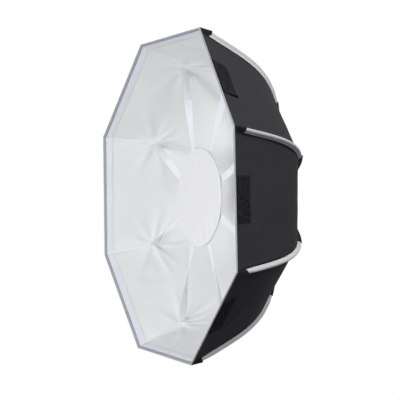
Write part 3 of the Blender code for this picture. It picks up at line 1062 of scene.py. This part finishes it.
def fin_rings(rib, along, sections):
    """Rings along a rib from sections of (height, sideways) points, square to the panel they lie on."""
    rings = []
    for place, section, turn in zip(along, sections, -rib.half_angle(along)):
        point, out = rib.point(place), rib.normal(place)
        up = math.cos(turn) * out + math.sin(turn) * rib.around
        side = math.cos(turn) * rib.around - math.sin(turn) * out
        rings.append([point + high * up + wide * side for high, wide in section])
    return np.array(rings)


def section_uvs(section, along):
    """UVs round a section and along its rings."""
    ring = np.array(section + section[:1])
    girth = np.cumsum(np.linalg.norm(np.diff(ring, axis=0), axis=1))[:-1]
    return np.stack(np.meshgrid(np.concatenate(([0.0], girth)), along), axis=-1)


def cover(rib, name, along, sections, uvs, sharp=None):
    """Black cloth along a rib."""
    rings = fin_rings(rib, along, sections)
    piece = tube_object(f"{name}_{rib.number}", rings, finish["pocket"], uvs, sharp=sharp)
    tie(piece, rib.body)


def sleeve_section(edge, rise):
    """Webbing drawn over the rod beside the seam and sewn flat to the panel: height, sideways."""
    loop = [(-0.0003, 0.0016), (0.0007, 0.0014)]
    for step in range(13):
        turn = math.radians(112 - 170 * step / 12)
        high = rise + SLEEVE_BULGE * math.cos(turn)
        loop.append((high, SLEEVE_SIDE + SLEEVE_BULGE * math.sin(turn)))
    foot = SLEEVE_SIDE - SLEEVE_BULGE
    loop += [(high, foot + share * (edge - foot)) for high, share in SLEEVE_FLAT]
    return loop + [(-0.0005, -0.0030)]


def pocket_section(top, width, near=POCKET_NEAR):
    """A black pocket over the sleeve: humped over the rod and falling to the panel."""
    loop = [(-0.0004, near)]
    for high, side in POCKET_HUMP:
        loop.append((top * high, near * side if side > 0 else width * side))
    return loop + [(0.0004, -width), (-0.0005, -0.94 * width), (-0.0006, -0.4 * width)]


def fold_over(section, lean):
    """Bends the part of a section beyond the seam down onto the next panel."""
    turn = 2 * lean
    bent = []
    for high, wide in section:
        if wide > 0:
            high, wide = high + wide * math.sin(turn), wide * math.cos(turn)
        bent.append((high, wide))
    return bent


def make_sleeve(rib):
    """Grey webbing over the rod, narrower where the rear pocket hides it."""
    tucked, clear, rows = 0.0025, 0.0004, 64
    along = np.linspace(FRONT_POCKET - tucked, rib.mouth - clear, rows)
    narrowing = smoothstep(rib.pocket + 0.001, rib.pocket + 0.012, along)
    edge = SLEEVE_EDGES.get(rib.number, SLEEVE_EDGE)
    edges = edge + (SLEEVE_HIDDEN_EDGE - edge) * narrowing
    swell = smoothstep(FRONT_POCKET, FRONT_POCKET + 0.03, along) * (1 - narrowing)
    rises = SLEEVE_RISE + (SLEEVE_RISES.get(rib.number, SLEEVE_RISE) - SLEEVE_RISE) * swell
    sections = [sleeve_section(*size) for size in zip(edges, rises)]
    rings, uvs = fin_rings(rib, along, sections), section_uvs(sections[0], along)
    sleeve = tube_object(f"sleeve_{rib.number}", rings, finish["sleeve"], uvs)
    tie(sleeve, rib.body, f"rib_sleeve_{rib.number}")


def make_welt_and_shadow_line(rib):
    """Black tape under the sleeve, folded over the seam; where it shows past the sleeve's edge it is
    partly seam tape and partly a painted shadow line.
    """
    start, rows = 0.002, 64
    along = np.linspace(start, rib.mouth, rows)
    sections = [fold_over(WELT_AND_SHADOW_LINE_SECTION, lean) for lean in -rib.half_angle(along)]
    cover(rib, "welt_and_shadow_line", along, sections, section_uvs(WELT_AND_SHADOW_LINE_SECTION, along))


def make_front_pocket(rib):
    """Black pocket over the rod's tip, flat at the rim and humped where the sleeve leaves it."""
    start = 0.0012
    share = np.array((0.0, 0.03, 0.1, 0.22, 0.4, 0.6, 0.8, 0.965, 0.99, 1.0))
    along = start + (FRONT_POCKET - start) * share
    tops = 0.0010 + 0.0078 * share
    tops[-1] -= POCKET_BEVEL
    widths = 0.0040 + 0.0056 * share
    sections = [pocket_section(*size) for size in zip(tops, widths)]
    cover(rib, "front_pocket", along, sections, section_uvs(sections[5], along), sharp=50)


def make_rear_pocket(rib):
    """Black pocket over the sleeve's rear end, up to the rod holder."""
    start = rib.pocket
    along = np.linspace(start + 0.006, rib.mouth + 0.002, 24)
    along = np.concatenate(([start, start + 0.0003, start + 0.0012], along))
    share = np.clip((along - start) / (rib.mouth - start), 0.0, 1.0)
    tops = 0.0090 + 0.0006 * share
    tops[0] -= POCKET_BEVEL
    widths = 0.0100 - 0.0018 * share
    nears = POCKET_NEAR + 0.0034 * share
    sections = [pocket_section(*size) for size in zip(tops, widths, nears)]
    cover(rib, "rear_pocket", along, sections, section_uvs(sections[3], along - start), sharp=50)


def make_rod(rib):
    """The rod in the sleeve, from inside its front pocket to just short of its socket's floor."""
    start, rows, steps = 0.0200, 60, 14
    circle = [2 * math.pi * step / steps for step in range(steps)]
    along = np.linspace(start, rib.mouth, rows)
    share = smoothstep(rib.pocket, rib.mouth, along)
    rises = SLEEVE_RISE * (1 - share) + ROD_OFFSET * share
    asides = SLEEVE_SIDE * (1 - share)
    sections = []
    for rise, aside in zip(rises, asides):
        heights = [rise + ROD_RADIUS * math.cos(turn) for turn in circle]
        sideways = [aside + ROD_RADIUS * math.sin(turn) for turn in circle]
        sections.append(list(zip(heights, sideways)))
    rings = fin_rings(rib, along, sections)
    radius = PIVOT_RADIUS + ROD_FOOT * math.cos(SOCKET_LEAN)
    depth = PIVOT_DEPTH - ROD_FOOT * math.sin(SOCKET_LEAN)
    run = rib.at(radius, depth) - rings[-1].mean(axis=0)
    rings = np.concatenate((rings, rings[-1:] + run))
    uvs = section_uvs(sections[0], np.append(along, along[-1] + np.linalg.norm(run)))
    rod = tube_object(f"rod_{rib.number}", rings, finish["rod"], uvs, sharp=60)
    tie(rod, rib.body, f"rib_rod_{rib.number}")


def collar_stations(inner, outer):
    """Turns from a panel's middle at the ring's hole and at its edge, and whether the edge is cut away."""
    gap = 0.0005
    stations = [(-HALF_SIDE, -HALF_SIDE, True), (-inner - gap, -inner, True)]
    for share in np.linspace(-1.0, 1.0, 9):
        stations.append((inner * share, outer * share, False))
    return stations + [(inner + gap, inner, True)]


def make_collar():
    """Black cloth ring in front of the hub's plate, open where the rod holders fold through it."""
    apothem, hole, bevel = 0.0868, 0.0640, 0.0004
    back, front = 0.20725, 0.20660
    notch_half, notch_start = 0.00515, 0.0775
    corner = apothem / math.cos(HALF_SIDE)
    inner = HALF_SIDE - math.asin(notch_half / notch_start)
    outer = HALF_SIDE - math.asin(notch_half / corner)
    rings, uvs = [], []
    for side in range(RIB_COUNT):
        for near, far, cut in collar_stations(inner, outer):
            rim = notch_start if cut else apothem / math.cos(far)
            section = [(hole, back, near), (rim - bevel, back, far), (rim, (back + front) / 2, far)]
            section += [(rim - bevel, front, far), (hole, front, near)]
            ring = []
            for radius, depth, off in section:
                turn = 2 * HALF_SIDE * side + off
                ring.append((radius * math.cos(turn), depth - SEAT_DEPTH, radius * math.sin(turn)))
            rings.append(ring)
            uvs.append([(x, z) for x, _, z in ring])
    look = finish["pocket"]
    collar = tube_object("collar", np.array(rings), look, uvs, capped=False, ring=True, sharp=50)
    tie(collar, "hub")


def make_flap(rib):
    """Cloth tab on a rod holder, over the holder's notch in the ring."""
    half_width, length, middle = 0.0095, 0.012, 0.0900
    front, back = 0.20585, 0.20635
    section = ((-half_width, front), (half_width, front), (half_width, back), (-half_width, back))
    rings, uvs = [], []
    for radius in (middle - length / 2, middle, middle + length / 2):
        rings.append([rib.at(radius, depth) + wide * rib.around for wide, depth in section])
        uvs.append([(wide, radius) for wide, _ in section])
    flap = tube_object(f"flap_{rib.number}", np.array(rings), finish["pocket"], uvs, sharp=50)
    tie(flap, rib.body)


# Deflector: disc and straps


def make_disc():
    """White disc hemmed over its wire hoop, slightly puckered towards its edge."""
    around = 128
    hem_radius, cloth = 0.0020, 0.0006
    back_edge, back_cloth = 0.0875, 0.0007
    front = [(0.0015 + 0.0865 * step / 20, DISC_DEPTH - cloth) for step in range(21)]
    hem = []
    for step in range(13):
        turn = math.radians(118 - 296 * step / 12)
        depth = HOOP_DEPTH - cloth - hem_radius * math.sin(turn)
        hem.append((HOOP_RADIUS + hem_radius * math.cos(turn), depth))
    back = [(back_edge - 0.086 * step / 8, DISC_DEPTH + back_cloth) for step in range(9)]
    profile = front + hem + back
    count = len(profile)
    rng = random.Random(5)
    coarse, fine = (rng.uniform(0.0, 2 * math.pi) for _ in range(2))
    points, uvs = [], []
    for step in range(around):
        turn = 2 * math.pi * step / around
        low = 0.6 + 0.8 * max(0.0, -math.sin(turn))
        pucker = math.sin(19 * turn + coarse) + 0.6 * math.sin(31 * turn + fine)
        for index, (radius, depth) in enumerate(profile):
            x, z = radius * math.cos(turn), radius * math.sin(turn)
            lift = 0.0
            if index < len(front):
                lift = 0.00042 * float(smoothstep(0.035, 0.088, radius)) * low * pucker
                lift += 0.0006 * noise.noise(Vector((x / 0.014, z / 0.06, 3.3)))
                lift += 0.0007 * math.cos(math.pi / 2 * min(1.0, radius / 0.09))
            elif index < len(front) + len(hem):
                lift = 0.00025 * math.sin(64 * turn)
            points.append((x, depth - lift - SEAT_DEPTH, z))
            uvs.append((x, z))
    faces = grid_faces(around, count, ring=True)
    faces.append(tuple(step * count for step in reversed(range(around))))
    faces.append(tuple(step * count + count - 1 for step in range(around)))
    disc = mesh_object("disc", points, faces, finish["disc"], uvs)
    face_outward(disc)
    tie(disc, "hub", "deflector_disc")


def make_strap(rib):
    """White strap from behind the disc's edge to the rib's seam, a quarter turned on its way."""
    steps, wide = 40, 6
    half_thickness, most_cup = 0.0005, 0.0006
    sunk, overlap, behind = 0.0008, 0.010, 0.0028
    end = rib.point(rib.anchor) - (LINING_INSET + ANCHOR_PULL - sunk) * rib.normal(rib.anchor)
    end_side = rib.slope(rib.anchor)
    start = rib.at(DISC_RADIUS - overlap, HOOP_DEPTH + behind)
    run = end - start
    reach = np.linalg.norm(run)
    sag = random.Random(200 + rib.number).uniform(0.0006, 0.002) * np.array((0, 0, 1))
    offs = np.array([column / wide - 0.5 for column in range(wide + 1)])[:, None]
    rings = []
    for step in range(steps + 1):
        share = step / steps
        turn = math.pi / 2 * float(smoothstep(0.08, 0.95, share))
        side = math.cos(turn) * rib.around - math.sin(turn) * end_side
        side = unit(side - (side @ run) / reach**2 * run)
        normal = np.cross(run / reach, side)
        hump = math.sin(math.pi * share)
        middle = start + share * run - hump * sag
        cloth = middle + offs * STRAP_WIDTH * side + most_cup * hump * (4 * offs * offs) * normal
        edge = half_thickness * np.sqrt(1 - (2 * offs) ** 4) * normal
        rings.append(np.concatenate((cloth + edge, (cloth - edge)[-2:0:-1])))
    widths = [STRAP_WIDTH * column / wide for column in (*range(wide + 1), *range(wide - 1, 0, -1))]
    uvs = np.stack(np.meshgrid(widths, np.linspace(0.0, reach, steps + 1)), axis=-1)
    strap = tube_object(f"strap_{rib.number}", np.array(rings), finish["strap"], uvs, sharp=50)
    first = rib.at(DISC_RADIUS, DISC_DEPTH)
    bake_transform(strap)
    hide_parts(f"deflector_strap_{rib.number}")


# Frame parts that keep their solids


def dress_frame():
    looks = {
        "hub_ring": "hub",
        "mount_ring": "mount",
        "retainer_ring": "mount",
        "lock_knob": "knob",
        "deflector_hoop": "wire",
    }
    for number in ribs:
        looks[f"rod_holder_{number}"] = "nylon"
    for node, kind in looks.items():
        for slot in frame["nodes"][node].material_slots:
            slot.material = finish[kind]


# Studio


def make_stage():
    """A wide pale floor well under the part, white to the camera's eye beyond it."""
    size, height = 2.4, -0.95
    corners = [(-size, -size, height), (size, -size, height), (size, size, height), (-size, size, height)]
    look = Look("floor", (0.82, 0.82, 0.82), 0.9, specular=0.1)
    look.paint(look.shade(look.noise(3.0, 2.0), 0.01))
    glow = look.node("ShaderNodeEmission", {"Color": WHITE, "Strength": 1.0})
    place = look.node("ShaderNodeTexCoord").outputs["Object"]
    away = look.node("ShaderNodeVectorMath", {0: place}, operation="LENGTH").outputs["Value"]
    paling = look.ramp(away, 1.2, 2.2, 0.7, 1.0)
    pale = look.mix_shaders(paling, look.shader.outputs[0], glow.outputs[0])
    dim = look.node("ShaderNodeBsdfDiffuse", {"Color": (0.16, 0.16, 0.16, 1.0)})
    look.show("Material Output", look.mix_shaders(look.seen(), dim.outputs[0], pale))
    mesh_object("floor", corners, [(0, 1, 2, 3)], look.made)


def make_world(above, below):
    """White to the eye, and a soft sky that is brighter above for the light."""
    world = bpy.data.worlds.new("studio")
    bpy.context.scene.world = world
    world.use_nodes = True
    nodes = Nodes(world.node_tree)
    place = nodes.node("ShaderNodeTexCoord").outputs["Generated"]
    height = nodes.node("ShaderNodeSeparateXYZ", {0: place}).outputs["Z"]
    sky = nodes.tree.nodes["Background"]
    nodes.fill(sky, {"Color": WHITE, "Strength": nodes.ramp(height, -0.7, 0.7, below, above)})
    white = nodes.node("ShaderNodeBackground", {"Color": WHITE, "Strength": 1.0})
    mixed = nodes.mix_shaders(nodes.seen(), sky.outputs[0], white.outputs[0])
    nodes.show("World Output", mixed)


def make_lamp(name, place, size, power):
    lamp = bpy.data.lights.new(name, "AREA")
    lamp.shape = "DISK"
    lamp.size = size
    lamp.energy = power
    made = bpy.data.objects.new(name, lamp)
    objects.link(made)
    made.location = place
    made.visible_camera = False
    aim = Vector((0.0, -0.1, 0.0)) - Vector(place)
    made.rotation_euler = aim.to_track_quat("-Z", "Y").to_euler()


def make_camera():
    eye = Vector((2.20994, -1.23262, 0.01028))
    target = Vector((0.02734, -0.17600, -0.00455))
    data = bpy.data.cameras.new("camera")
    data.sensor_width = 36.0
    data.lens = 115.22
    camera = bpy.data.objects.new("camera", data)
    objects.link(camera)
    roll = Matrix.Rotation(math.radians(0.730), 4, "Z")
    turn = (target - eye).to_track_quat("-Z", "Y").to_matrix().to_4x4()
    camera.matrix_world = Matrix.Translation(eye) @ turn @ roll
    bpy.context.scene.camera = camera


make_camera()
for panel_number in ribs:
    make_cloth(panel_number)
for made_rib in ribs.values():
    for make in (make_sleeve, make_welt_and_shadow_line, make_front_pocket, make_rear_pocket, make_rod, make_strap):
        make(made_rib)
make_disc()
make_collar()
for made_rib in ribs.values():
    make_flap(made_rib)
dress_frame()
make_stage()
make_world(above=0.2, below=0.0)
for lamp_name, (lamp_place, lamp_size, lamp_power) in LAMPS.items():
    make_lamp(lamp_name, lamp_place, lamp_size, lamp_power)
bpy.context.scene.view_settings.view_transform = "Standard"
